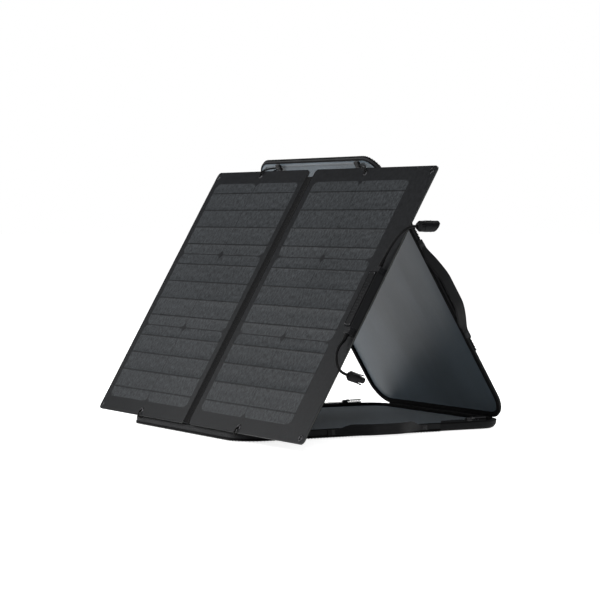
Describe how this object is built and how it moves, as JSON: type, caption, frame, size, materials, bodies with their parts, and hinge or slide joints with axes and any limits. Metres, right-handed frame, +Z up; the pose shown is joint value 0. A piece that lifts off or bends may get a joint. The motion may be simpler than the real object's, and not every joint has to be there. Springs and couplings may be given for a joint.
{
  "type": "solar suitcase kit",
  "caption": "Folding solar panel with eyelets, junction box and connector leads, leaning on its own opened zip case with webbing handles.",
  "frame": {"origin": "on the ground, under the middle of the kit's bounding box without its leads", "axes": "+X along the panel's width, to the right seen from its face; +Y from the panel towards the case hinge; +Z up"},
  "size_m": [0.8341, 0.5861, 0.507],
  "materials": {
    "case_cloth": "charcoal woven nylon over foam, matt",
    "rim_binding": "black bound edge, matt",
    "stiffener": "hard board, matt",
    "foam": "closed foam, matt",
    "lining": "blue-grey lining cloth with a soft sheen",
    "gusset_cloth": "black woven cloth, matt",
    "zip_teeth": "black moulded zip teeth, satin",
    "webbing": "black ribbed webbing, matt",
    "anchor_patch": "black patch with blackened rivets",
    "elastic_cord": "black braided elastic cord",
    "slider_metal": "black enamelled metal",
    "pull_rubber": "black ribbed pull, matt",
    "panel_film": "dark embossed film, satin",
    "panel_board": "glass-fibre board, matt",
    "back_cloth": "black coated cloth, matt",
    "encapsulant": "dark filler between cells",
    "solar_cell": "near-black silicon, satin",
    "ribbon_metal": "tinned ribbon, darkened",
    "eyelet_metal": "blackened eyelet, satin",
    "seam_cloth": "black cloth strip, matt",
    "box_plastic": "black moulded plastic, satin",
    "seal_rubber": "black seal, matt",
    "screw_steel": "steel, satin",
    "terminal_brass": "tinned brass",
    "diode_plastic": "black moulded",
    "lead_jacket": "black cable jacket, satin",
    "connector_plastic": "black moulded plastic, satin",
    "contact_metal": "tinned contact, bright"
  },
  "bodies": {
    "base": {"base_cover": "case_cloth", "base_rim_binding": "rim_binding", "base_stiffener": "stiffener", "base_foam_pad": "foam", "base_lining": "lining", "base_gusset": "gusset_cloth", "base_zip_chain": "zip_teeth", "base_loop_tabs": "webbing", "base_handle_anchors": "anchor_patch", "base_left_loop": "elastic_cord", "base_right_loop": "elastic_cord", "spine_band": "gusset_cloth"},
    "rear": {"rear_cover": "case_cloth", "rear_rim_binding": "rim_binding", "rear_stiffener": "stiffener", "rear_foam_pad": "foam", "rear_lining": "lining", "rear_gusset": "gusset_cloth", "rear_zip_chain": "zip_teeth", "rear_loop_tabs": "webbing", "rear_handle_anchors": "anchor_patch", "rear_left_loop": "elastic_cord", "rear_right_loop": "elastic_cord"},
    "base_handle": {"base_handle": "webbing"},
    "rear_handle": {"rear_handle": "webbing"},
    "left_slider": {"left_slider": "slider_metal"},
    "left_pull": {"left_slider_pull": "pull_rubber"},
    "right_slider": {"right_slider": "slider_metal"},
    "right_pull": {"right_slider_pull": "pull_rubber"},
    "panel_right": {"right_film": "panel_film", "right_board": "panel_board", "right_back_cloth": "back_cloth", "right_encapsulant": "encapsulant", "right_cells": "solar_cell", "right_ribbons": "ribbon_metal", "right_eyelets": "eyelet_metal", "fold_seam_strip": "seam_cloth", "fold_bridge_ribbon": "ribbon_metal", "junction_box_housing": "box_plastic", "junction_box_seal": "seal_rubber", "junction_box_lid": "box_plastic", "junction_box_screws": "screw_steel", "junction_box_terminals": "terminal_brass", "junction_box_diodes": "diode_plastic", "cable_glands": "box_plastic", "upper_lead": "lead_jacket", "lower_lead": "lead_jacket", "socket_cap_nut": "connector_plastic", "socket_body": "connector_plastic", "socket_contact": "contact_metal", "plug_cap_nut": "connector_plastic", "plug_body": "connector_plastic", "plug_pin": "contact_metal"},
    "panel_left": {"left_film": "panel_film", "left_board": "panel_board", "left_back_cloth": "back_cloth", "left_encapsulant": "encapsulant", "left_cells": "solar_cell", "left_ribbons": "ribbon_metal", "left_eyelets": "eyelet_metal"}
  },
  "joints": [
    {"name": "stand_open", "type": "hinge", "parent": "base", "child": "rear", "pos_m": [-0.056, 0.286, 0.016], "axis": [-1, 0, 0], "range_deg": [-44, 0], "deforming": ["spine_band", "rear_left_loop", "rear_right_loop", "base_left_loop", "base_right_loop"]},
    {"name": "panel_tilt", "type": "hinge", "parent": "base", "child": "panel_right", "pos_m": [0, -0.288, 0.019], "axis": [-1, 0, 0], "range_deg": [-22, 0], "deforming": ["rear_left_loop", "rear_right_loop", "base_left_loop", "base_right_loop"]},
    {"name": "panel_fold", "type": "hinge", "parent": "panel_right", "child": "panel_left", "pos_m": [-0.0255, -0.15514, 0.25233], "axis": [0, 0.5, 0.866], "range_deg": [0, 175], "deforming": ["fold_seam_strip", "fold_bridge_ribbon", "rear_left_loop", "base_left_loop"]},
    {"name": "base_handle_swing", "type": "hinge", "parent": "base", "child": "base_handle", "pos_m": [0.183, 0.002, 0.014], "axis": [0, -1, 0], "range_deg": [0, 70], "stiffness_Nm_per_rad": 0.3},
    {"name": "rear_handle_swing", "type": "hinge", "parent": "rear", "child": "rear_handle", "pos_m": [0.183, 0.14144, 0.26047], "axis": [0, 0.515, -0.8572], "range_deg": [0, 60], "stiffness_Nm_per_rad": 0.3},
    {"name": "left_slider_travel", "type": "slide", "parent": "base", "child": "left_slider", "axis": [0, -1, 0], "range_m": [0, 0.05]},
    {"name": "left_pull_swing", "type": "hinge", "parent": "left_slider", "child": "left_pull", "pos_m": [-0.282, 0.2104, 0.0224], "axis": [1, 0, 0], "range_deg": [0, 125]},
    {"name": "right_slider_travel", "type": "slide", "parent": "base", "child": "right_slider", "axis": [0, -1, 0], "range_m": [0, 0.05]},
    {"name": "right_pull_swing", "type": "hinge", "parent": "right_slider", "child": "right_pull", "pos_m": [0.17, 0.2104, 0.0224], "axis": [1, 0, 0], "range_deg": [0, 125]}
  ],
  "couplings": [
    {"joint": "panel_tilt", "follows": "stand_open", "ratio": 0.5}
  ]
}
